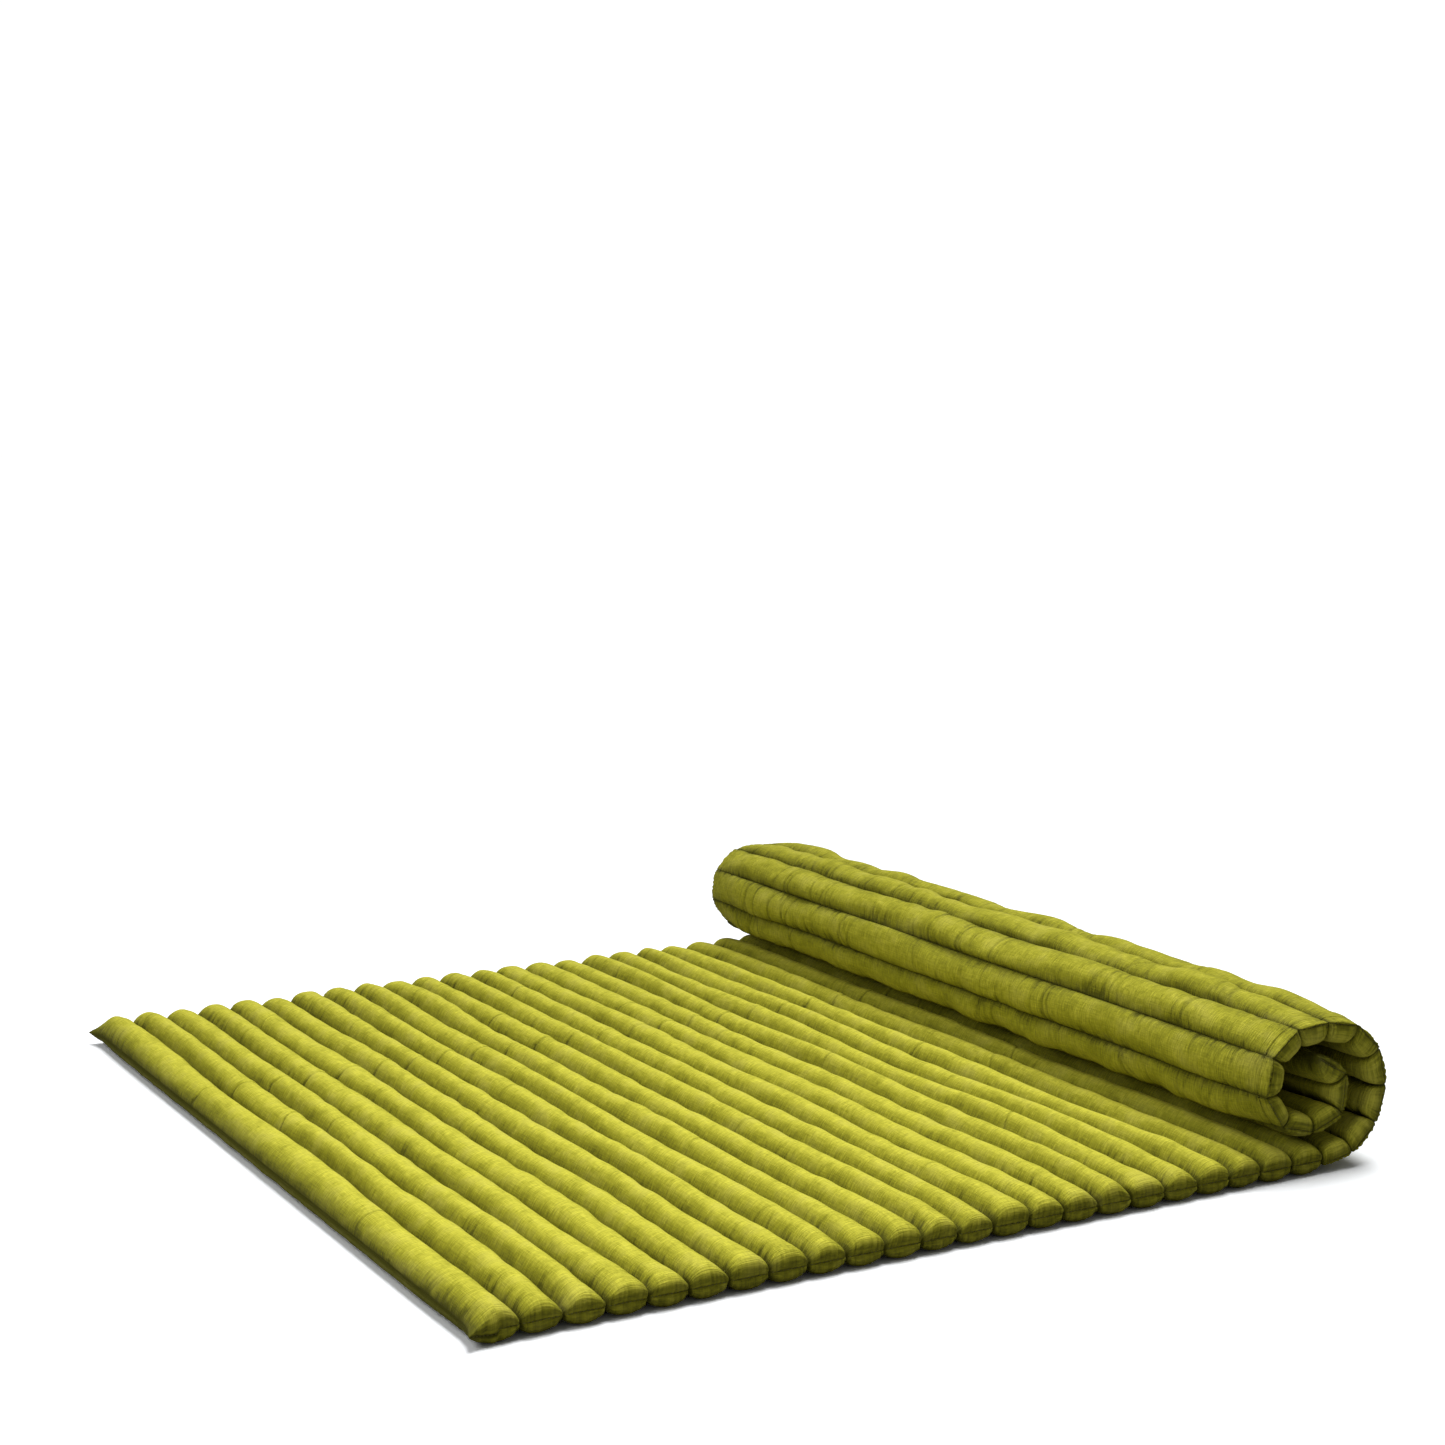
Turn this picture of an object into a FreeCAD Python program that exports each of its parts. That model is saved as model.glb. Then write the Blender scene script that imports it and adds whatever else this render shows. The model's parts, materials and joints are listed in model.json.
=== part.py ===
import FreeCAD, Part
import math
import os
import Sketcher
from FreeCAD import Vector

# A roll-up floor mattress: kapok-stuffed cloth tubes lying side by side, each as long as the
# mattress is wide, joined edge to edge by sewn seams that act as cloth hinges. The first tubes
# lie flat on the floor, the rest are rolled up and over on top of them, tops inward.
#
# Axes: X runs along the mattress from its free edge to the roll, Y along the tubes, Z is up.

FLAT_TUBES = 23     # tubes lying on the floor, the last of them carries the roll
ROLLED_TUBES = 14   # tubes in the roll
RING_TUBES = 9      # of those, the ones in the outer turn, the rest make the tight core

SIZES = {
    "mat_width": 1450.0,     # length of every tube, seam end to seam end
    "tube_pitch": 52.0,      # from one sewn seam to the next
    "crown": 33.0,           # height of a tube's top above its side seams
    "base": 12.0,            # depth of a tube's underside below its side seams
    "seam_gap": 1.6,         # cloth between two tubes along a seam
    "tip": 0.6,              # half thickness of the pinched edge beside a seam
    "end_crown": 19.0,       # crown at the sewn end of a tube
    "end_base": 8.0,         # underside depth at the sewn end of a tube
    "end_taper": 26.0,       # length over which an end swells to full thickness
    "cloth": 1.0,            # thickness of the cover, cloth and lint together
    "seam_turn": 2.0,        # how far the stuffing stops short of a pinched edge
    "end_turn": 1.5,         # how far the stuffing stops short of a sewn end
    "under_slope": 45.0,     # slope of the underside where it rises to a side seam
    "flat_slope": 70.0,      # slope of a tube's upper sides, lying flat
    "ring_slope": 66.0,      # the same in the outer turn of the roll
    "core_slope": 56.0,      # the same in the core of the roll
    "core_fold": 66.0,       # angle folded at each seam of the core
    "roll_lead": 0.23,       # flat run between the flat part and the curl, in tube pitches
    "roll_top": 0.77,        # flat run over the top of the roll, in tube pitches
    "roll_inner": 0.42,      # flat run where the second turn starts, in tube pitches
    "layer_gap": 1.5,        # slack between one turn of the roll and the next
}

KINDS = {"Flat": "flat_slope", "Ring": "ring_slope", "Core": "core_slope"}


def make_sizes(doc):
    sheet = doc.addObject("Spreadsheet::Sheet", "Sizes")
    for row, (name, value) in enumerate(SIZES.items(), start=1):
        sheet.set("A%d" % row, name)
        sheet.set("B%d" % row, str(value))
        sheet.setAlias("B%d" % row, name)
    return sheet


def origin_plane(body, role):
    for feature in body.Origin.OriginFeatures:
        if feature.Role == role:
            return feature
    raise RuntimeError("no plane " + role)


def tube_section(body, name, station, half, crown, base, tip, slope, values):
    """One cross-section of a tube: pinched edges at the seam height, a rounded crown, a flat
    underside. Each size comes as an expression; values holds the same sizes as numbers."""
    sketch = body.newObject("Sketcher::SketchObject", name)
    sketch.AttachmentSupport = (origin_plane(body, "XZ_Plane"), [""])
    sketch.MapMode = "FlatFace"
    sketch.setExpression("AttachmentOffset.Base.z", "-(%s)" % station)

    half_mm, crown_mm, base_mm, tip_mm, slope_deg, under_deg = values
    lean = math.radians(slope_deg)
    rise = half_mm * math.tan(lean) + tip_mm - crown_mm
    radius = rise * math.cos(lean) / (1.0 - math.cos(lean))
    shoulder = Vector(radius * math.sin(lean), crown_mm - radius + radius * math.cos(lean), 0)
    heel = half_mm - (base_mm - tip_mm) / math.tan(math.radians(under_deg))

    def at(x, z):
        return Vector(x, z, 0)

    left = Vector(-shoulder.x, shoulder.y, 0)
    circle = Part.Circle(at(0, crown_mm - radius), Vector(0, 0, 1), radius)
    arc = Part.ArcOfCircle(circle, math.pi / 2 - lean, math.pi / 2 + lean)
    left_side = sketch.addGeometry(Part.LineSegment(at(-half_mm, tip_mm), left))
    top = sketch.addGeometry(arc)
    right_side = sketch.addGeometry(Part.LineSegment(shoulder, at(half_mm, tip_mm)))
    right_tip = sketch.addGeometry(Part.LineSegment(at(half_mm, tip_mm), at(half_mm, -tip_mm)))
    right_heel = sketch.addGeometry(Part.LineSegment(at(half_mm, -tip_mm), at(heel, -base_mm)))
    under = sketch.addGeometry(Part.LineSegment(at(heel, -base_mm), at(-heel, -base_mm)))
    left_heel = sketch.addGeometry(Part.LineSegment(at(-heel, -base_mm), at(-half_mm, -tip_mm)))
    left_tip = sketch.addGeometry(Part.LineSegment(at(-half_mm, -tip_mm), at(-half_mm, tip_mm)))
    peak = sketch.addGeometry(Part.Point(at(0, crown_mm)), True)

    def tie(*parts):
        return sketch.addConstraint(Sketcher.Constraint(*parts))

    def size(label, expression, *parts):
        index = tie(*parts)
        sketch.renameConstraint(index, label)
        sketch.setExpression("Constraints." + label, expression)

    tie("Tangent", left_side, 2, top, 2)
    tie("Tangent", right_side, 1, top, 1)
    ring = [right_side, right_tip, right_heel, under, left_heel, left_tip, left_side]
    for one, following in zip(ring, ring[1:]):
        tie("Coincident", one, 2, following, 1)
    tie("Symmetric", right_tip, 1, left_tip, 2, -2)
    tie("Symmetric", right_tip, 2, left_tip, 1, -2)
    tie("Symmetric", under, 1, under, 2, -2)
    tie("PointOnObject", peak, 1, -2)
    tie("PointOnObject", peak, 1, top)
    tie("PointOnObject", top, 3, -2)
    tie("Symmetric", right_tip, 1, right_tip, 2, -1)
    size("half", half, "DistanceX", -1, 1, right_tip, 1, half_mm)
    size("tip", tip, "DistanceY", -1, 1, right_tip, 1, tip_mm)
    size("crown", crown, "DistanceY", -1, 1, peak, 1, crown_mm)
    size("base", base, "DistanceY", under, 1, -1, 1, base_mm)
    size("slope", slope + " * 1 deg", "Angle", left_side, lean)
    flat = "(%s) - ((%s) - (%s)) / tan(Sizes.under_slope * 1 deg)" % (half, base, tip)
    size("heel", flat, "DistanceX", -1, 1, under, 1, heel)
    return sketch


def crown_height(crown, half, slope):
    """Height of a tube's top, as an expression: a little under the free crown, and lower still
    where leaning sides squeeze the tube into a wedge. The sides would meet at the apex."""
    apex = "(%s) * tan(%s * 1 deg)" % (half, slope)
    return "pow(pow(%s; -4) + pow(%s; -4); -0.25)" % (crown, apex)


def crown_height_mm(crown, half, slope):
    apex = half * math.tan(math.radians(slope))
    return (crown ** -4 + apex ** -4) ** -0.25


def tube_body(doc, sheet, kind, inner):
    """A tube lofted through four sections: sewn end, full, full, sewn end. With inner set it is
    the stuffing, which stops short of the cover by the cloth's thickness."""
    body = doc.addObject("PartDesign::Body", kind + ("Stuffing" if inner else "Outside"))
    edge = "Sizes.tube_pitch / 2 - Sizes.seam_gap / 2"
    edge_mm = sheet.tube_pitch / 2 - sheet.seam_gap / 2
    half, half_mm = edge, edge_mm
    tip, tip_mm = "Sizes.tip", sheet.tip
    skin, skin_mm = "", 0.0
    end = "Sizes.mat_width / 2"
    if inner:
        half, half_mm = edge + " - Sizes.seam_turn", edge_mm - sheet.seam_turn
        tip, tip_mm = "Sizes.tip / 2", sheet.tip / 2
        skin, skin_mm = " - Sizes.cloth", sheet.cloth
        end += " - Sizes.end_turn"
    full = "Sizes.mat_width / 2 - Sizes.end_taper"
    stations = [("FrontEnd", "-(%s)" % end, "end_"), ("FrontFull", "-(%s)" % full, ""),
                ("BackFull", full, ""), ("BackEnd", end, "end_")]
    sections = []
    for label, station, prefix in stations:
        # a sewn end is lower than the tube, so its sides lean as far as those of the core
        slope = "core_slope" if prefix else KINDS[kind]
        crown, base = prefix + "crown", prefix + "base"
        crown_mm = crown_height_mm(getattr(sheet, crown), edge_mm, getattr(sheet, slope))
        values = (half_mm, crown_mm - skin_mm, getattr(sheet, base) - skin_mm, tip_mm,
                  getattr(sheet, slope), sheet.under_slope)
        top = crown_height("Sizes." + crown, edge, "Sizes." + slope)
        sections.append(tube_section(body, body.Name + label, station, half, top + skin,
                                     "Sizes.%s%s" % (base, skin), tip, "Sizes." + slope, values))
    loft = body.newObject("PartDesign::AdditiveLoft", body.Name + "Loft")
    loft.Profile = sections[0]
    loft.Sections = sections[1:]
    loft.Ruled = True
    body.Tip = loft
    return body


def point_along(runs, start, distance):
    """Where a path of straight and curved runs gets to. Each run is (length, radius), radius 0
    is straight, positive curls up over the start."""
    x, z = start
    heading = 0.0
    for length, radius in runs:
        step = min(distance, length)
        if radius:
            turned = heading + step / radius
            x += radius * (math.sin(turned) - math.sin(heading))
            z -= radius * (math.cos(turned) - math.cos(heading))
            heading = turned
        else:
            x += step * math.cos(heading)
            z += step * math.sin(heading)
        distance -= step
    return x, z


def next_seam(runs, start, last, distance, pitch):
    """The point further along the path that lies one tube away from the last seam."""
    near = distance
    far = distance + 2 * pitch
    while far - near > 1e-9:
        middle = (near + far) / 2
        if math.dist(point_along(runs, start, middle), last) < pitch:
            near = middle
        else:
            far = middle
    return point_along(runs, start, far), far


def seam_points(sheet):
    """X and Z of every seam at rest, from the mattress's free edge to the heart of the roll."""
    pitch = sheet.tube_pitch
    layer = sheet.base + sheet.crown + sheet.layer_gap
    core = pitch / (2 * math.sin(math.radians(sheet.core_fold) / 2))
    first_x = -FLAT_TUBES * pitch / 2
    seams = [(first_x + i * pitch, sheet.base) for i in range(FLAT_TUBES + 1)]
    right = core + layer
    left = core + layer / 2
    runs = [(sheet.roll_lead * pitch, 0), (math.pi * right, right), (sheet.roll_top * pitch, 0),
            (math.pi * left, left), (sheet.roll_inner * pitch, 0), (ROLLED_TUBES * pitch, core)]
    start = seams[-1]
    distance = 0.0
    for _ in range(ROLLED_TUBES):
        point, distance = next_seam(runs, start, seams[-1], distance, pitch)
        seams.append(point)
    return seams


def kind_of(number):
    if number < FLAT_TUBES:
        return "Flat"
    if number < FLAT_TUBES + RING_TUBES:
        return "Ring"
    return "Core"


def add_tube(doc, number, cover, stuffing, left, right):
    """One stuffed tube: its cloth cover and the kapok inside, set between its two seams."""
    tube = doc.addObject("Part::Compound", "Tube%02d" % number)
    tube.Label = "tube_%02d" % number
    tube.Links = [cover, stuffing]
    tilt = math.degrees(math.atan2(right[1] - left[1], right[0] - left[0]))
    middle = Vector((left[0] + right[0]) / 2, 0, (left[1] + right[1]) / 2)
    tube.Placement = FreeCAD.Placement(middle, FreeCAD.Rotation(Vector(0, -1, 0), tilt))
    return tube


doc = FreeCAD.newDocument("mattress")
sheet = make_sizes(doc)
doc.recompute()

covers = {}
stuffings = {}
for kind in KINDS:
    outside = tube_body(doc, sheet, kind, False)
    stuffings[kind] = tube_body(doc, sheet, kind, True)
    covers[kind] = doc.addObject("Part::Cut", kind + "Cover")
    covers[kind].Base = outside
    covers[kind].Tool = stuffings[kind]

seams = seam_points(sheet)
tubes = []
for number, (left, right) in enumerate(zip(seams, seams[1:]), start=1):
    kind = kind_of(number)
    tubes.append(add_tube(doc, number, covers[kind], stuffings[kind], left, right))
doc.recompute()

for item in doc.Objects:
    if "Invalid" in item.State or "Error" in item.State:
        raise RuntimeError("%s: %s" % (item.Name, item.State))
os.makedirs("parts", exist_ok=True)
for tube in tubes:
    if tube.Shape.isNull() or not tube.Shape.isValid() or len(tube.Shape.Solids) != 2:
        raise RuntimeError("bad shape " + tube.Label)
    tube.Shape.exportStep("parts/%s.step" % tube.Label)
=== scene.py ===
import json
import math

import bpy
import numpy as np
from mathutils import Matrix, Vector


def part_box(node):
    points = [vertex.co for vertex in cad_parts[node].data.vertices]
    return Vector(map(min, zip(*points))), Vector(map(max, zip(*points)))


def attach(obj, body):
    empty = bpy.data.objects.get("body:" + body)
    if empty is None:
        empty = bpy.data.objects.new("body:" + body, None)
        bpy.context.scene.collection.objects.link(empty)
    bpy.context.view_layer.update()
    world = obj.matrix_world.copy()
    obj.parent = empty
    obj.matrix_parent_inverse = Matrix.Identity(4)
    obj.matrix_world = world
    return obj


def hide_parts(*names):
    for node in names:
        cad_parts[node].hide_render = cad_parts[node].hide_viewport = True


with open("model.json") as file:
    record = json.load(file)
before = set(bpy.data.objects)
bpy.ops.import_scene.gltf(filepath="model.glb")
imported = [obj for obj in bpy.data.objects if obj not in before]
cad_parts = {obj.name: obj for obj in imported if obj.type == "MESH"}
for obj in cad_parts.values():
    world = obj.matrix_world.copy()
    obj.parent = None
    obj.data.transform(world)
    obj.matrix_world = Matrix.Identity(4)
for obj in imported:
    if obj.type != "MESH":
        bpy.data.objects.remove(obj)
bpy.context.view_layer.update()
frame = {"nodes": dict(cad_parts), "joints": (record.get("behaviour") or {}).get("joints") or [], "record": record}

# ---------------------------------------------------------------------------------------------
# Seams. The cover is two widths of cotton laid together and stitched through in straight lines,
# one tube's width apart. Each line is a hinge of cloth: its place and the angle it can fold come
# from the joint there.
# ---------------------------------------------------------------------------------------------
joints = sorted(frame["joints"], key=lambda joint: joint["name"])
seam_line = [np.array([joint["pos_m"][0], joint["pos_m"][2]]) for joint in joints]
seam_fold = [max(abs(limit) for limit in joint["range_deg"]) for joint in joints]
pitch = float(np.linalg.norm(seam_line[1] - seam_line[0]))
tube_names = sorted(frame["record"]["behaviour"]["bodies"])
tube_count = len(tube_names)
half_length = (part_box(tube_names[0])[1].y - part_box(tube_names[0])[0].y) / 2


def free_edge(name, seam):
    """The far edge of an end tube, which no seam joint marks."""
    corners = np.array([(v.co.x, v.co.z) for v in frame["nodes"][name].data.vertices])
    reach = np.linalg.norm(corners - seam, axis=1)
    tip = corners[reach > reach.max() - 0.0005].mean(axis=0)
    return seam + (tip - seam) / np.linalg.norm(tip - seam) * pitch


edges = ([free_edge(tube_names[0], seam_line[0])] + seam_line
         + [free_edge(tube_names[-1], seam_line[-1])])
# a free edge has no neighbour to press on, so there the side may swell past the stitching
folds = [None] + seam_fold + [None]
joint_range = [joint["range_deg"] for joint in joints]
first_rolled = next(i for i, limits in enumerate(joint_range) if limits[0] < 0) + 1


# ---------------------------------------------------------------------------------------------
# Cover cloth. A matt plain-weave cotton with thick and thin slubs in the yarn, dyed lime green
# and paler where it is worn, so it looks mottled. Painted light is added to its colour: a painted
# highlight along the tops of the tubes, painted shade down their flanks and in the valleys, and
# painted shade in the tucks, grooves, pleats and wrinkles.
# ---------------------------------------------------------------------------------------------
def node_group(name, inputs, outputs):
    group = bpy.data.node_groups.new(name, "ShaderNodeTree")
    for label, kind, value in inputs:
        socket = group.interface.new_socket(label, in_out="INPUT", socket_type=kind)
        if value is not None:
            socket.default_value = value
    for label, kind in outputs:
        group.interface.new_socket(label, in_out="OUTPUT", socket_type=kind)
    return group, group.nodes.new("NodeGroupInput"), group.nodes.new("NodeGroupOutput")


def add_node(tree, kind, values=None, **settings):
    node = tree.nodes.new(kind)
    for key, value in settings.items():
        setattr(node, key, value)
    for key, value in (values or {}).items():
        if isinstance(value, bpy.types.NodeSocket):
            tree.links.new(value, node.inputs[key])
        else:
            node.inputs[key].default_value = value
    return node


def maths(tree, operation, one, two=0.0, clamp=False):
    return add_node(tree, "ShaderNodeMath", {0: one, 1: two}, operation=operation,
                    use_clamp=clamp).outputs[0]


def centred(tree, value, amount):
    """A noise value swung about zero, by amount."""
    return maths(tree, "MULTIPLY", maths(tree, "SUBTRACT", value, 0.5), amount)


def blend_colour(tree, share, one, two):
    mix = add_node(tree, "ShaderNodeMix", {0: share, 6: one, 7: two}, data_type="RGBA")
    return mix.outputs[2]


def stretched_noise(tree, lie, around, along, detail=2.0, rough=0.5, wander=0.0):
    """Noise on the cloth: around and along are how many grains per millimetre."""
    scaled = add_node(tree, "ShaderNodeVectorMath", {0: lie, 1: (around, along, 1.0)},
                      operation="MULTIPLY").outputs[0]
    return add_node(tree, "ShaderNodeTexNoise",
                    {"Vector": scaled, "Scale": 1.0, "Detail": detail, "Roughness": rough,
                     "Distortion": wander},
                    noise_dimensions="3D").outputs[0]


weave, given, result = node_group(
    "slub weave",
    [("Lie", "NodeSocketVector", None), ("Crest", "NodeSocketFloat", 0.5),
     ("Tuck", "NodeSocketFloat", 0.0), ("Gather", "NodeSocketFloat", 0.0),
     ("Bright", "NodeSocketColor", (1, 1, 1, 1)), ("Mid", "NodeSocketColor", (1, 1, 1, 1)),
     ("Deep", "NodeSocketColor", (0, 0, 0, 1)), ("Raw", "NodeSocketColor", (1, 1, 1, 1))],
    [("Colour", "NodeSocketColor"), ("Roughness", "NodeSocketFloat"),
     ("Height", "NodeSocketFloat"), ("Wrinkles", "NodeSocketFloat")])
lie = given.outputs["Lie"]
weft = stretched_noise(weave, lie, 0.060, 0.50, 4.0, 0.68, 0.25)
warp = stretched_noise(weave, lie, 0.80, 0.030, 3.0, 0.60)
patch = stretched_noise(weave, lie, 0.026, 0.016, 3.0, 0.60)
cloud = stretched_noise(weave, lie, 0.11, 0.075, 4.0, 0.70)
# fine wrinkles run round the tube from the stitching: thin sharp folds, not waves
fold = stretched_noise(weave, lie, 0.018, 0.26, 1.0, 0.50, 0.20)
sharp = maths(weave, "ABSOLUTE", centred(weave, fold, 7.0))
sharp = maths(weave, "SUBTRACT", 1.0, sharp, clamp=True)
sharp = maths(weave, "POWER", sharp, 1.6)
wrinkle = maths(weave, "MULTIPLY", sharp, given.outputs["Gather"])
tone = maths(weave, "ADD", centred(weave, weft, 1.22), centred(weave, warp, 0.62))
tone = maths(weave, "ADD", tone, centred(weave, patch, 0.72))
tone = maths(weave, "ADD", tone, centred(weave, cloud, 0.36))
# painted light: the crest mask lifts the tone high on a tube as a painted highlight and leaves the flanks and
# valleys low, as painted shade
tone = maths(weave, "ADD", tone, maths(weave, "MULTIPLY", given.outputs["Crest"], 0.74))
# painted shade in the fine wrinkles, on top of their bump
tone = maths(weave, "SUBTRACT", tone, maths(weave, "MULTIPLY", wrinkle, 0.10))
# painted shade in the tucks, the groove of the cloth join, the pleat hollows, the pinched corners and the hem
# groove
tone = maths(weave, "SUBTRACT", tone, maths(weave, "MULTIPLY", given.outputs["Tuck"], 0.80))
share = maths(weave, "ADD", tone, 0.08, clamp=True)
low = maths(weave, "MULTIPLY", share, 2.0, clamp=True)
high = maths(weave, "MULTIPLY", maths(weave, "SUBTRACT", share, 0.5), 2.0, clamp=True)
# the tone runs from Deep through Mid to Bright: the slub noise spreads it at random, and the crest, wrinkle and
# tuck masks add painted highlight and painted shade
dye_and_shade = blend_colour(weave, low, given.outputs["Deep"], given.outputs["Mid"])
dye_and_shade = blend_colour(weave, high, dye_and_shade, given.outputs["Bright"])
worn = maths(weave, "MULTIPLY", centred(weave, patch, 3.4), 0.36, clamp=True)
dye_and_shade = blend_colour(weave, worn, dye_and_shade, given.outputs["Raw"])
weave.links.new(dye_and_shade, result.inputs["Colour"])
weave.links.new(maths(weave, "ADD", centred(weave, weft, 0.30), 0.80), result.inputs["Roughness"])
fine_weft = stretched_noise(weave, lie, 0.5, 2.2, 1.0)
fine_warp = stretched_noise(weave, lie, 2.2, 0.5, 1.0)
height = maths(weave, "ADD", maths(weave, "ADD", weft, maths(weave, "MULTIPLY", warp, 0.5)),
               maths(weave, "MULTIPLY", maths(weave, "ADD", fine_weft, fine_warp), 0.25))
weave.links.new(height, result.inputs["Height"])
weave.links.new(maths(weave, "MULTIPLY", wrinkle, -1.0), result.inputs["Wrinkles"])


def cloth_material(name, bright, mid, deep, raw):
    material = bpy.data.materials.new(name)
    material.use_nodes = True
    tree = material.node_tree
    shader = tree.nodes["Principled BSDF"]
    woven = add_node(tree, "ShaderNodeGroup", node_tree=weave)
    lie_of = add_node(tree, "ShaderNodeAttribute", attribute_name="cloth_lie")
    tree.links.new(lie_of.outputs["Vector"], woven.inputs["Lie"])
    for mask in ("Crest", "Tuck", "Gather"):
        painted = add_node(tree, "ShaderNodeAttribute", attribute_name=mask.lower())
        tree.links.new(painted.outputs["Fac"], woven.inputs[mask])
    woven.inputs["Bright"].default_value = (*bright, 1)
    woven.inputs["Mid"].default_value = (*mid, 1)
    woven.inputs["Deep"].default_value = (*deep, 1)
    woven.inputs["Raw"].default_value = (*raw, 1)
    folds_in = add_node(tree, "ShaderNodeBump", {"Strength": 0.75, "Distance": 0.0015,
                                                "Height": woven.outputs["Wrinkles"]})
    threads = add_node(tree, "ShaderNodeBump", {"Strength": 0.45, "Distance": 0.0012,
                                               "Height": woven.outputs["Height"],
                                               "Normal": folds_in.outputs["Normal"]})
    tree.links.new(woven.outputs["Colour"], shader.inputs["Base Color"])
    tree.links.new(woven.outputs["Roughness"], shader.inputs["Roughness"])
    tree.links.new(threads.outputs["Normal"], shader.inputs["Normal"])
    shader.inputs["Specular IOR Level"].default_value = 0.16
    shader.inputs["Sheen Weight"].default_value = 0.09
    shader.inputs["Sheen Roughness"].default_value = 0.45
    shader.inputs["Sheen Tint"].default_value = (0.85, 0.80, 0.16, 1)
    return material


# bright is the painted highlight on the crests and deep the painted shade in the valleys and creases, with mid
# between; the slubs spread the tone over all three at random, and raw is the paler worn cloth
cover_cloth = cloth_material("cover_cloth",
                             bright=(0.66, 0.620, 0.060), mid=(0.330, 0.320, 0.017),
                             deep=(0.105, 0.104, 0.006), raw=(0.290, 0.262, 0.078))


# ---------------------------------------------------------------------------------------------
# Stuffed tubes. Each channel between two seams is packed tight with kapok through one end, so it
# swells into a lumpy crown above the stitching and a lower belly under it. The ends are folded
# in square and sewn shut along the height of the seams, which gathers the cloth into pleats.
# ---------------------------------------------------------------------------------------------
UPPER = 30      # quads round the top of a tube, stitching to stitching
UNDER = 24      # quads round the underside
END_RINGS = 20  # rings over each sewn end
STEP = 0.0026   # between rings along the tube

end_depth = 0.0150    # how far the square end reaches back before the tube has its full section
end_square = 5.4      # a high power gives the end a blunt face with a tight rounded rim
belly_square = 2.1    # the belly turns under in a plain round
crown_high = 0.0350
crown_rolled = 0.0325
crown_core = 0.0260
belly_flat = 0.0120
belly_outer = 0.0195  # where nothing presses on the outside of the roll
belly_outer_end = 0.0052
belly_core = 0.0098
outer_free = (first_rolled + 1, first_rolled + 10)
join_y = 0.245        # where the cover's two widths of cotton are joined across the mattress
CLOTH_SHIFT = 37.0    # mm in the pattern between tubes, so no two look alike

sway_size = 0.0033        # how far a valley wanders to either side
crown_wave = 0.060        # long swells of the stuffing, as a share of the crown
crown_lump = 0.009        # short ones
crown_spread = 0.04       # some tubes are packed fuller than others
end_thinning = 0.20       # how much lower the crown is at a sewn end
belly_wave = 0.19
round_power = 2.25        # superellipse power of a crown: 2 would be a plain ellipse
boxy_reach = 0.045        # how far from an end its square fold is felt
pinch_reach = 0.007
pinch_rolled = 0.0030     # how deep the corners sink between two ends
pinch_flat = 0.0060
ear_out = 0.0080          # how far a free corner sticks out, along the tube and sideways
ear_side = 0.0130
end_puff = 0.0024
stitch_dip = 0.0009
corner_rise = 0.0058      # how far a flat tube's sewn corners ride up
fold_spare = 1            # degrees of room beyond what a seam has to fold
hem_over = 0.0045         # how far a free edge bulges past its hem, above and below
hem_under = 0.0090
tuck_full = 0.0018        # a tuck this deep gets the full painted shade
pleat_deep = 0.00095
pleat_least, pleat_most = 4.2, 5.4    # mm from one pleat to the next
lap_wide, lap_deep = 0.0030, 0.0016   # the groove of the cloth join


def ripple(dice, along, longest, shortest, count):
    """Smooth random waviness along a tube, about -1 to 1."""
    total = np.zeros_like(along)
    for _ in range(count):
        length = math.exp(dice.uniform(math.log(shortest), math.log(longest)))
        total += np.sin(2 * math.pi * (along / length + dice.random())) * (length / longest) ** 0.35
    return total / math.sqrt(count)


middle_y = half_length - end_depth
ring_count = int(round(2 * middle_y / STEP)) + 1
ring_y = np.linspace(-middle_y, middle_y, ring_count)
seam_dice = np.random.default_rng(7)
# neighbours push each other sideways above the stitching, so the valleys wander
seam_sway = [ripple(seam_dice, ring_y, 1.00, 0.36, 4) * sway_size for _ in edges]
# the free edge has nothing to push it, so it runs straighter
seam_sway[0] = seam_sway[0] * 0.4


def end_turns():
    """Angles over the end's blunt profile, evenly spaced along its length."""
    fine = np.linspace(0, math.pi / 2, 600)
    back = np.sin(fine) ** (2 / end_square) * end_depth
    down = np.cos(fine) ** (2 / end_square) * crown_high
    run = np.concatenate([[0], np.cumsum(np.hypot(np.diff(back), np.diff(down)))])
    return np.interp(np.linspace(0, run[-1], END_RINGS + 1)[1:], run, fine)


def one_crease(depth, around, along, place, side, wide, deep, reach, lean):
    """Adds one thin arc of pulled cloth, which fades out towards the crest."""
    window = np.exp(-((around - side) / reach) ** 2)
    line = along - place - lean * (around - side)
    depth += deep * window * np.exp(-(line / wide) ** 2)


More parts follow.
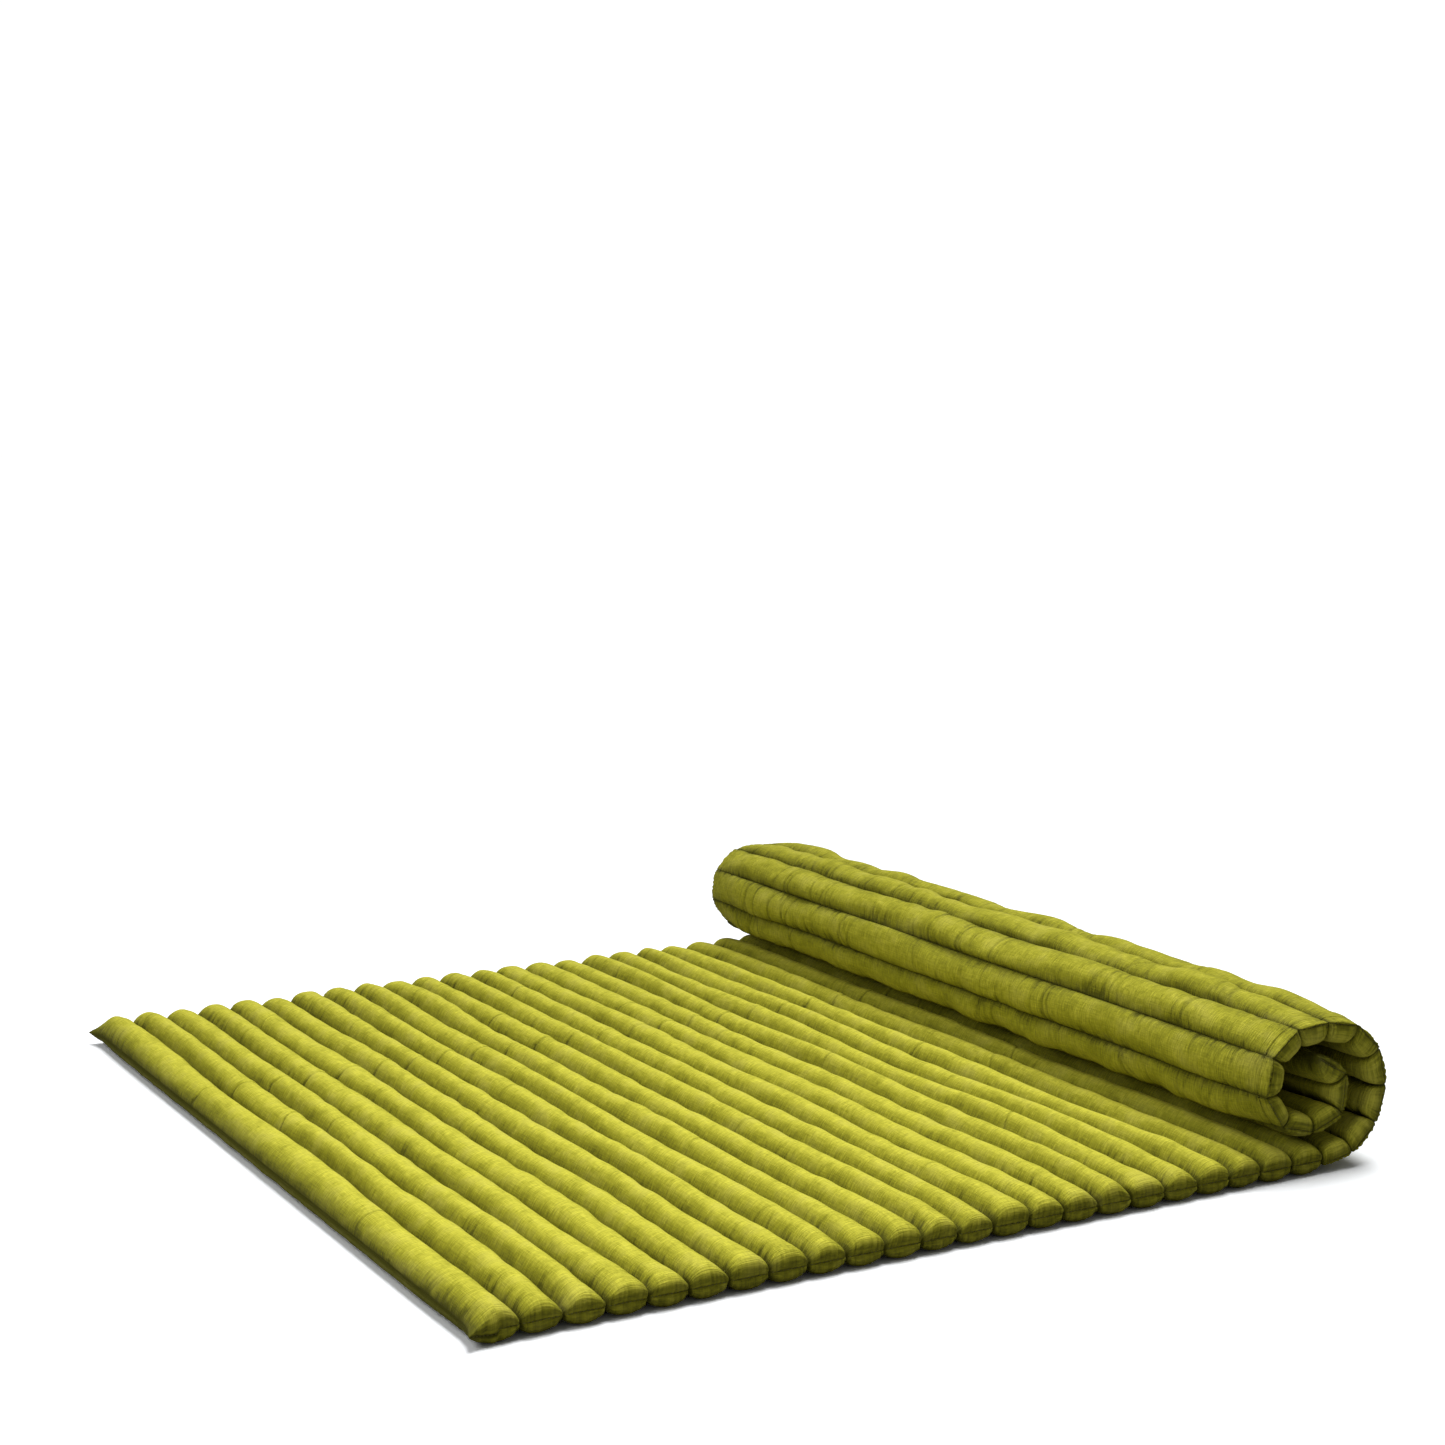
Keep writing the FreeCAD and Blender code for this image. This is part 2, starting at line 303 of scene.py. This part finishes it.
def creases(dice, around, along, outside):
    """Depth of the tucks that run round a tube: the cloth is a little long for its stuffing, and
    gathers in clusters beside the stitching. The outside of the roll is the most gathered."""
    depth = np.zeros_like(along)
    for _ in range(11 if outside else 3):
        centre = dice.uniform(-half_length + 0.05, half_length - 0.05)
        side = dice.choice([0.0, 1.0])
        for _ in range(dice.integers(3, 9)):
            one_crease(depth, around, along, centre + dice.normal() * 0.030, side,
                       dice.uniform(0.0020, 0.0034),
                       dice.uniform(0.3, 1.0) * (0.0019 if outside else 0.0009),
                       dice.uniform(0.16, 0.46), dice.normal() * 0.016)
    for _ in range(6 if outside else 1):
        # some tucks cross the whole tube, a few side by side
        centre = dice.uniform(-0.65, 0.65)
        for _ in range(dice.integers(2, 6) if outside else 1):
            one_crease(depth, around, along, centre + dice.normal() * 0.020, dice.uniform(0.2, 0.8),
                       dice.uniform(0.0020, 0.0028), dice.uniform(0.4, 1.0) * 0.0019,
                       dice.uniform(0.4, 0.9), dice.normal() * 0.020)
    for end in (-1, 1):
        for _ in range(22):
            one_crease(depth, around, along,
                       end * (half_length - 0.014 - abs(dice.normal()) * 0.055),
                       dice.choice([0.0, 1.0]), dice.uniform(0.0018, 0.0028),
                       dice.uniform(0.3, 1.0) * 0.0013, dice.uniform(0.14, 0.42),
                       dice.normal() * 0.014)
    return depth


def signed_power(value, power):
    """A power that keeps the sign, for the superellipse."""
    return np.sign(value) * np.abs(value) ** power


# every tube has the same rings, and the same points round each ring
turns = end_turns()
turn = np.concatenate([turns[::-1], np.zeros_like(ring_y), turns])
end_sign = np.concatenate([-np.ones(END_RINGS), np.zeros_like(ring_y), np.ones(END_RINGS)])
end_sign = end_sign[:, None]
base_y = np.concatenate([np.full(END_RINGS, -middle_y), ring_y, np.full(END_RINGS, middle_y)])
round_top = np.linspace(math.pi, 0, UPPER + 1)
round_low = np.linspace(0, -math.pi, UNDER + 1)[1:-1]
turn_round = np.concatenate([round_top, round_low])[None, :]
cosine, sine = np.cos(turn_round), np.sin(turn_round)
is_top = sine >= -1e-9


def closing(square):
    """How far an end has closed, and how far back it has run, for a given squareness."""
    shut = np.maximum(np.cos(turn) ** (2 / square), 0.02)[:, None]
    back = (np.sin(turn) ** (2 / square) * end_depth)[:, None]
    return shut, back


shut_top, back_top = closing(end_square)
shut_low, back_low = closing(belly_square)
open_ = np.where(is_top, shut_top, shut_low)
shutting = np.clip(1 - open_, 0, 1)
side_share = np.clip(np.abs(sine) * 3, 0, 1)
back = (np.where(is_top, back_top, back_low) * side_share
        + (back_top + back_low) / 2 * (1 - side_share))
ring_along = base_y[:, None] + end_sign * back
from_end = half_length - np.abs(base_y + end_sign[:, 0] * back_top[:, 0])
# near the ends the section is boxier, because the folded end holds it square
squared = np.exp(-from_end / boxy_reach)[:, None]
near_end = np.exp(-np.maximum(middle_y - np.abs(base_y), 0) / pinch_reach)[:, None]


def crown_and_belly(dice, rolled, core, outer, swell):
    """Height of the stuffing above the stitching and its depth below, ring by ring."""
    crown = crown_core if core else crown_rolled if rolled else crown_high
    crown = crown * (1 + crown_wave * ripple(dice, base_y, 0.90, 0.32, 4)
                     + crown_lump * ripple(dice, base_y, 0.20, 0.10, 3))
    if not rolled:
        crown = crown * (1 + dice.uniform(-crown_spread, crown_spread))
    # the stuffing thins towards the sewn ends
    crown = crown * (1 - end_thinning * np.exp(-from_end / 0.040))
    if outer:
        belly = belly_outer_end + (belly_outer - belly_outer_end) * swell
        belly = belly * (1 + belly_wave * ripple(dice, base_y, 0.42, 0.15, 4) * swell)
    else:
        belly = belly_core if rolled else belly_flat
        belly = belly * (1 + 0.02 * ripple(dice, base_y, 0.4, 0.1, 3))
    return crown, belly


def lean_room(fold, rolled, crown, belly, lift, dip):
    """How far a side stands back from its seam, so that the seam can fold."""
    if fold is not None:
        eased = 1 if rolled else 1 - 0.5 * squared
        return lift * math.tan(math.radians(fold / 2 + fold_spare)) * eased
    # a free edge swells past its hem above and below, so the hem lies in a groove
    to_crown = np.clip(1 - lift / crown.max(), 0, 1)
    to_belly = np.clip(1 - dip / belly.max(), 0, 1)
    above = hem_over * (1 - np.exp(-lift / 0.0024)) * to_crown ** 0.5
    below = hem_under * (1 - np.exp(-dip / 0.0016)) * to_belly ** 0.5
    return -(above + below) * (1 - squared)


def swayed(number, outer, across, up, dip, swell):
    """Moves the flanks with their wandering seams, which stay put at the stitching itself."""
    left, right = [np.interp(base_y, ring_y, seam_sway[number - 1 + k])[:, None] for k in (0, 1)]
    share = (across + pitch / 2) / pitch
    rise = np.clip(up / 0.022, 0, 1)
    rise = rise * rise * (3 - 2 * rise)
    # bellies that hang free on the outside of the roll sway too, where both neighbours do
    hang = np.clip(dip / 0.012, 0, 1) * 1.5 * swell[:, None]
    hang_left = hang * (outer and number > outer_free[0])
    hang_right = hang * (outer and number < outer_free[1])
    return across + left * (1 - share) * (rise + hang_left) + right * share * (rise + hang_right)


def skin_normals(points):
    round_step = np.roll(points, -1, axis=1) - np.roll(points, 1, axis=1)
    along_step = np.gradient(points, axis=0)
    normal = np.cross(along_step, round_step)
    normal /= np.maximum(np.linalg.norm(normal, axis=-1, keepdims=True), 1e-12)
    normal *= np.sign(normal[ring_count // 2 + END_RINGS, UPPER // 2, 2])
    return normal


def tube_points(number):
    """Points of one tube's cover, rings by points round, in the tube's own across, along and up,
    with the lie of the cloth in millimetres and the masks for its crest, tucks and gathers, which
    put painted highlight and painted shade into its colour."""
    dice = np.random.default_rng(100 + number)
    rolled = number > first_rolled
    core = number > tube_count - 5
    outer = outer_free[0] <= number <= outer_free[1]
    left_fold, right_fold = folds[number - 1], folds[number]
    free = ((cosine < 0) & (left_fold is None)) | ((cosine > 0) & (right_fold is None))

    swell = 1 - np.exp(-(from_end / 0.060) ** 1.6)
    crown, belly = crown_and_belly(dice, rolled, core, outer, swell)
    # some ends fill out square and some stay lens-shaped, as their corners were folded
    top_power = round_power + (2.0 if rolled else dice.uniform(-0.45, 0.85)) * squared
    power = np.where(is_top, np.where(free, round_power - 0.65 * squared, top_power),
                     (2.0 if outer else 2.15) - 0.2 * squared)
    ca = signed_power(cosine, 2 / power)
    sb = np.abs(sine) ** (2 / power)
    up = np.where(is_top, crown[:, None] * sb, -belly[:, None] * sb) * open_
    lift = np.maximum(up, 0)
    dip = np.maximum(-up, 0)
    room = np.where(ca < 0, lean_room(left_fold, rolled, crown, belly, lift, dip),
                    lean_room(right_fold, rolled, crown, belly, lift, dip))
    across = swayed(number, outer, ca * (pitch / 2 - room), up, dip, swell)

    # ends: joined corners are pinched in between the tubes, a free corner pulls out to a point
    edge_share = np.abs(ca)
    pinch = edge_share ** 16
    ear = edge_share ** 5 * np.exp(-from_end / 0.016)[:, None]
    recess = (pinch_rolled if rolled else pinch_flat) * pinch * near_end
    along = ring_along + end_sign * np.where(free, ear_out * ear, -recess)
    across = across + np.where(free, np.sign(ca) * ear_side * ear, 0)
    # the folded end puffs out between its rim and its stitched line
    puff = np.sin(math.pi * np.clip(shutting, 0, 1) ** 0.8) * (1 - edge_share ** 4)
    along = along + end_sign * (end_puff * puff - stitch_dip * shutting ** 8)
    if not rolled:
        # flat on the floor, the sewn corners ride up a little and the belly rounds off under them
        height_share = np.where(is_top, lift / crown[:, None], dip / belly[:, None])
        ride_up = np.where(free, edge_share ** 3, np.exp(-from_end / 0.020)[:, None])
        up = up + corner_rise * (1 - height_share) ** 1.2 * ride_up
    points = np.stack([across, along, up], axis=-1)
    normal = skin_normals(points)

    # the lie of the cloth, measured over the plain skin before it is tucked
    mid_ring = points[len(base_y) // 2]
    girth = np.linalg.norm(np.diff(mid_ring, axis=0, append=mid_ring[:1]), axis=-1)
    around_mm = np.concatenate([[0], np.cumsum(girth)[:-1]]) * 1000
    length_step = np.linalg.norm(np.diff(points, axis=0), axis=-1).mean(axis=1)
    length_mm = np.concatenate([[0], np.cumsum(length_step)]) * 1000
    lie_mm = np.stack([around_mm[None, :] + 0 * along, length_mm[:, None] + 0 * along,
                       np.full(along.shape, number * CLOTH_SHIFT)], axis=-1)
    across_share = np.where(is_top, (math.pi - turn_round) / math.pi, 1 + turn_round / math.pi)
    across_share = across_share + np.zeros_like(along)
    seam_near = np.exp(-np.minimum(across_share, 1 - across_share) / 0.16)

    # tucks and lumps
    tuck_depth = creases(dice, across_share, along, outer)
    move = -tuck_depth
    lump_a = ripple(dice, base_y, 0.15, 0.06, 4)[:, None]
    lump_b = ripple(dice, base_y, 0.13, 0.05, 4)[:, None]
    lumps = 0.0010 if outer else 0.0005
    move += lumps * (lump_a * np.sin(math.pi * across_share)
                     + lump_b * np.sin(2 * math.pi * across_share))
    # pleats over the sewn ends, from the rim down to the stitched line
    pleat_phase = around_mm / dice.uniform(pleat_least, pleat_most)
    pleat_phase = pleat_phase + 0.45 * ripple(dice, around_mm / 1000, 0.04, 0.012, 4)
    pleat = np.sin(2 * math.pi * pleat_phase)[None, :]
    at_end = np.clip(shutting * 2.2, 0, 1) * (1 - 0.6 * pinch) * np.abs(end_sign)
    move += pleat_deep * pleat * at_end
    # the cloth join: one width laps over the other in a sewn groove
    lap = along - join_y - 0.0022 * ripple(dice, around_mm / 1000, 0.06, 0.02, 3)[None, :]
    lap_groove = np.exp(-(lap / lap_wide) ** 2) * (sine > -0.2)
    lap_ridge = np.exp(-((lap - 0.0075) / 0.005) ** 2) * (sine > -0.2)
    move += -lap_deep * lap_groove + 0.0007 * lap_ridge
    # nothing moves at the stitching itself
    pinned = np.clip(np.abs(sine) * 3.0, 0, 1)
    move = move * pinned * np.clip(open_ * 4, 0, 1)
    points = points + normal * move[..., None]

    # masks, which put painted highlight and painted shade into the colour
    # painted light: high on a tube gets the painted highlight, low on the flanks and bellies the painted shade;
    # bellies get less of the highlight
    lit_height = np.where(is_top, sb, 0.66 * sb if outer else 0.45 * sb)
    crest = np.clip(lit_height * np.clip(open_ * 1.6, 0, 1), 0, 1) ** (0.8 if outer else 1.7)
    # painted shade in the groove of the cloth join, strongest towards the valleys
    join_groove_shade = lap_groove * (0.55 + 0.45 * dice.random()) * seam_near ** 0.35
    # the sewn end faces get a middle share of painted light, except at the pinched corners
    crest = np.maximum(crest, 0.44 * np.clip(shutting * 1.6, 0, 1) * (1 - pinch))
    # painted shade in the hollows of the pleats
    pleat_shade = np.clip(-pleat, 0, 1) * at_end * 0.20
    tuck = np.clip(tuck_depth / tuck_full, 0, 1) * (0.40 if outer else 0.60)
    # the tuck mask gathers painted shade: in the tucks, the join groove, the pleats and the pinched corners
    tuck = tuck + join_groove_shade + pleat_shade + 0.7 * pinch * near_end
    # and painted shade in the hem groove along a free edge
    tuck = tuck + np.where(free, 0.9 * np.exp(-((lift + dip) / 0.0022) ** 2), 0)
    # gather: where the fine wrinkles lie, used both for their bump and for painted shade in their folds; most on
    # the outside of the roll, by the seams and near the ends
    gather = seam_near * (1.0 if outer else 0.30) + 0.55 * np.exp(-from_end / 0.05)[:, None]
    gather = (gather + (0.12 if outer else 0.0)) * open_ ** 3
    masks = {"crest": crest, "tuck": np.clip(tuck, 0, 1), "gather": np.clip(gather, 0, 1)}
    return points, lie_mm, masks


def tube_placed(number, points):
    """From a tube's own frame to the mattress: its seams lie on its two edges."""
    left, right = edges[number - 1], edges[number]
    chord = (right - left) / np.linalg.norm(right - left)
    rise = np.array([-chord[1], chord[0]])
    middle = (left + right) / 2
    placed = np.empty_like(points)
    placed[..., 0] = middle[0] + points[..., 0] * chord[0] + points[..., 2] * rise[0]
    placed[..., 1] = points[..., 1]
    placed[..., 2] = middle[1] + points[..., 0] * chord[1] + points[..., 2] * rise[1]
    # the lowest tubes are pressed flat by the floor
    placed[..., 2] = np.maximum(placed[..., 2], 0.0003)
    return placed


def closed_tube(name, points):
    """A closed skin through the rings, with a fan of small faces inside each stitched end."""
    rings, count = points.shape[:2]
    index = np.arange(rings * count).reshape(rings, count)
    nxt = np.roll(index, -1, axis=1)
    sides = np.stack([index[:-1], index[1:], nxt[1:], nxt[:-1]], axis=-1).reshape(-1, 4)
    faces = sides.tolist()
    for row, flip in ((index[0], False), (index[-1], True)):
        upper = list(row[:UPPER + 1])
        lower = [row[0]] + list(row[UPPER + 1:][::-1]) + [row[UPPER]]
        i = j = 0
        while i < UPPER or j < UNDER:
            if j >= UNDER or (i < UPPER and (i + 1) / UPPER <= (j + 1) / UNDER):
                face = [upper[i], upper[i + 1], lower[j]]
                i += 1
            else:
                face = [upper[i], lower[j + 1], lower[j]]
                j += 1
            if len(set(face)) == 3:
                faces.append(face if flip else face[::-1])
    mesh = bpy.data.meshes.new(name)
    mesh.from_pydata(points.reshape(-1, 3).tolist(), [], faces)
    mesh.update()
    mesh.polygons.foreach_set("use_smooth", [True] * len(mesh.polygons))
    piece = bpy.data.objects.new(name, mesh)
    bpy.context.scene.collection.objects.link(piece)
    return piece


sewn_ends = {}
for number, name in enumerate(tube_names, start=1):
    points, lie_mm, masks = tube_points(number)
    placed = tube_placed(number, points)
    sewn_ends[name] = [(placed[0, :UPPER + 1], -1.0), (placed[-1, :UPPER + 1], 1.0)]
    piece = closed_tube("stuffed_" + name, placed)
    attribute = piece.data.attributes.new("cloth_lie", "FLOAT_VECTOR", "POINT")
    attribute.data.foreach_set("vector", lie_mm.reshape(-1).astype(np.float32))
    for mask, value in masks.items():
        attribute = piece.data.attributes.new(mask, "FLOAT", "POINT")
        attribute.data.foreach_set("value", value.reshape(-1).astype(np.float32))
    piece.data.materials.append(cover_cloth)
    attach(piece, name)
    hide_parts(name)


# ---------------------------------------------------------------------------------------------
# End stitching. Each tube is closed across its end with a row of running stitches in olive
# polyester thread, which sinks a little way into the folded cloth and shows as short dashes.
# ---------------------------------------------------------------------------------------------
STITCH = 0.0030
STITCH_GAP = 0.0019
STITCH_START = 0.006    # from the corners, which are tucked in
THREAD = 0.00042        # half the thread's thickness
SIDES = 6
# how thick a stitch is along its length, where it comes out of the cloth and goes back in
stitch_profile = [(0.0, 0.25), (0.15, 0.8), (0.5, 1.0), (0.85, 0.8), (1.0, 0.25)]

thread_material = bpy.data.materials.new("olive_thread")
thread_material.use_nodes = True
thread_tree = thread_material.node_tree
twist = add_node(thread_tree, "ShaderNodeTexWave", {"Scale": 900.0, "Distortion": 1.5, "Detail": 1.0},
                 wave_type="BANDS", bands_direction="DIAGONAL")
strands = blend_colour(thread_tree, twist.outputs["Fac"],
                       (0.120, 0.116, 0.018, 1), (0.300, 0.285, 0.070, 1))
twisted = add_node(thread_tree, "ShaderNodeBump", {"Strength": 0.4, "Distance": 0.0002,
                                                  "Height": twist.outputs["Fac"]})
polyester = thread_tree.nodes["Principled BSDF"]
thread_tree.links.new(strands, polyester.inputs["Base Color"])
thread_tree.links.new(twisted.outputs["Normal"], polyester.inputs["Normal"])
polyester.inputs["Roughness"].default_value = 0.45


def stitch_rings(start, finish, outward, points, faces):
    """One stitch: a slim bead of thread, thickest in the middle, dipping into the cloth."""
    run = finish - start
    side = np.cross(run, outward)
    side /= np.linalg.norm(side)
    first = len(points)
    for share, thick in stitch_profile:
        centre = start + run * share + outward * THREAD * 0.9 * thick
        for k in range(SIDES):
            angle = 2 * math.pi * k / SIDES
            spoke = math.cos(angle) * outward + math.sin(angle) * side
            points.append(centre + THREAD * thick * spoke)
    for ring in range(len(stitch_profile) - 1):
        for k in range(SIDES):
            a, b = first + ring * SIDES + k, first + ring * SIDES + (k + 1) % SIDES
            faces.append((a, b, b + SIDES, a + SIDES))
    faces.append(tuple(range(first + SIDES - 1, first - 1, -1)))
    last = first + (len(stitch_profile) - 1) * SIDES
    faces.append(tuple(range(last, last + SIDES)))


for name, ends in sewn_ends.items():
    points, faces = [], []
    for row, way in ends:
        run = np.concatenate([[0], np.cumsum(np.linalg.norm(np.diff(row, axis=0), axis=1))])
        at = STITCH_START
        while at + STITCH < run[-1] - STITCH_START:
            pair = [np.array([np.interp(place, run, row[:, axis]) for axis in range(3)])
                    for place in (at, at + STITCH)]
            stitch_rings(pair[0], pair[1], np.array([0.0, way, 0.0]), points, faces)
            at += STITCH + STITCH_GAP
    mesh = bpy.data.meshes.new("end_stitching_" + name)
    mesh.from_pydata([tuple(point) for point in points], [], faces)
    mesh.update()
    mesh.polygons.foreach_set("use_smooth", [True] * len(mesh.polygons))
    mesh.materials.append(thread_material)
    stitching = bpy.data.objects.new("end_stitching_" + name, mesh)
    bpy.context.scene.collection.objects.link(stitching)
    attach(stitching, name)


# ---------------------------------------------------------------------------------------------
# Studio. A plain white floor and backdrop, lit by a broad soft key from above, with a small soft
# light over the flat part and a weak fill on the left. The camera stands low at the free corner.
# ---------------------------------------------------------------------------------------------
floor_mesh = bpy.data.meshes.new("floor")
reach = 30.0
floor_mesh.from_pydata([(-reach, -reach, 0), (reach, -reach, 0), (reach, reach, 0), (-reach, reach, 0)],
                       [], [(0, 1, 2, 3)])
floor = bpy.data.objects.new("floor", floor_mesh)
bpy.context.scene.collection.objects.link(floor)
floor_paint = bpy.data.materials.new("floor_paint")
floor_paint.use_nodes = True
floor_tree = floor_paint.node_tree
paint = floor_tree.nodes["Principled BSDF"]
paint.inputs["Base Color"].default_value = (1.20, 1.22, 1.25, 1)
paint.inputs["Roughness"].default_value = 0.85
paint.inputs["Specular IOR Level"].default_value = 0.0
# the floor looks white, but sends little light back up under the tubes
dull = add_node(floor_tree, "ShaderNodeBsdfDiffuse", {"Color": (0.24, 0.24, 0.24, 1)})
looked_at = add_node(floor_tree, "ShaderNodeLightPath").outputs["Is Camera Ray"]
coat = add_node(floor_tree, "ShaderNodeMixShader", {0: looked_at, 1: dull.outputs[0],
                                                   2: paint.outputs[0]})
floor_tree.links.new(coat.outputs[0], floor_tree.nodes["Material Output"].inputs[0])
floor_mesh.materials.append(floor_paint)

world = bpy.data.worlds.new("studio")
bpy.context.scene.world = world
world.use_nodes = True
soft = world.node_tree.nodes["Background"]
soft.inputs["Color"].default_value = (1.0, 1.0, 1.0, 1)
soft.inputs["Strength"].default_value = 0.16
backdrop = add_node(world.node_tree, "ShaderNodeBackground",
                    {"Color": (1.0, 1.0, 1.0, 1), "Strength": 1.02})
seen = add_node(world.node_tree, "ShaderNodeLightPath").outputs["Is Camera Ray"]
both = add_node(world.node_tree, "ShaderNodeMixShader", {0: seen, 1: soft.outputs[0],
                                                        2: backdrop.outputs[0]})
world.node_tree.links.new(both.outputs[0], world.node_tree.nodes["World Output"].inputs[0])


def softbox(name, place, target, size, power):
    lamp = bpy.data.lights.new(name, "AREA")
    lamp.shape = "RECTANGLE"
    lamp.size, lamp.size_y = size
    lamp.energy = power
    box = bpy.data.objects.new(name, lamp)
    bpy.context.scene.collection.objects.link(box)
    box.location = place
    box.rotation_euler = (Vector(target) - Vector(place)).to_track_quat("-Z", "Y").to_euler()
    return box


softbox("left_fill", (-2.6, -0.8, 2.3), (0.0, 0.0, 0.0), (2.2, 1.6), 30)
softbox("overhead", (-0.15, -0.40, 1.6), (-0.15, -0.35, 0.0), (1.0, 1.0), 8)
key_data = bpy.data.lights.new("key", "SUN")
key_data.energy = 2.62
key_data.angle = math.radians(36)
key = bpy.data.objects.new("key", key_data)
bpy.context.scene.collection.objects.link(key)
key.rotation_euler = Vector((-0.30, -0.17, -1.0)).to_track_quat("-Z", "Y").to_euler()

bpy.context.scene.view_settings.view_transform = "Standard"
bpy.context.scene.view_settings.look = "None"

camera_data = bpy.data.cameras.new("camera")
camera_data.lens = 63.26
camera_data.sensor_width = 36.0
camera_data.clip_end = 200.0
camera = bpy.data.objects.new("camera", camera_data)
bpy.context.scene.collection.objects.link(camera)
heading, dip, tilt = math.radians(29.38), math.radians(7.83), math.radians(0.26)
camera.rotation_mode = "XYZ"
stand = (-1.6417, -3.1196, 1.0329)
camera.matrix_world = (Matrix.Translation(stand)
                       @ Matrix.Rotation(-heading, 4, "Z")
                       @ Matrix.Rotation(math.pi / 2 - dip, 4, "X")
                       @ Matrix.Rotation(-tilt, 4, "Z"))
bpy.context.scene.camera = camera
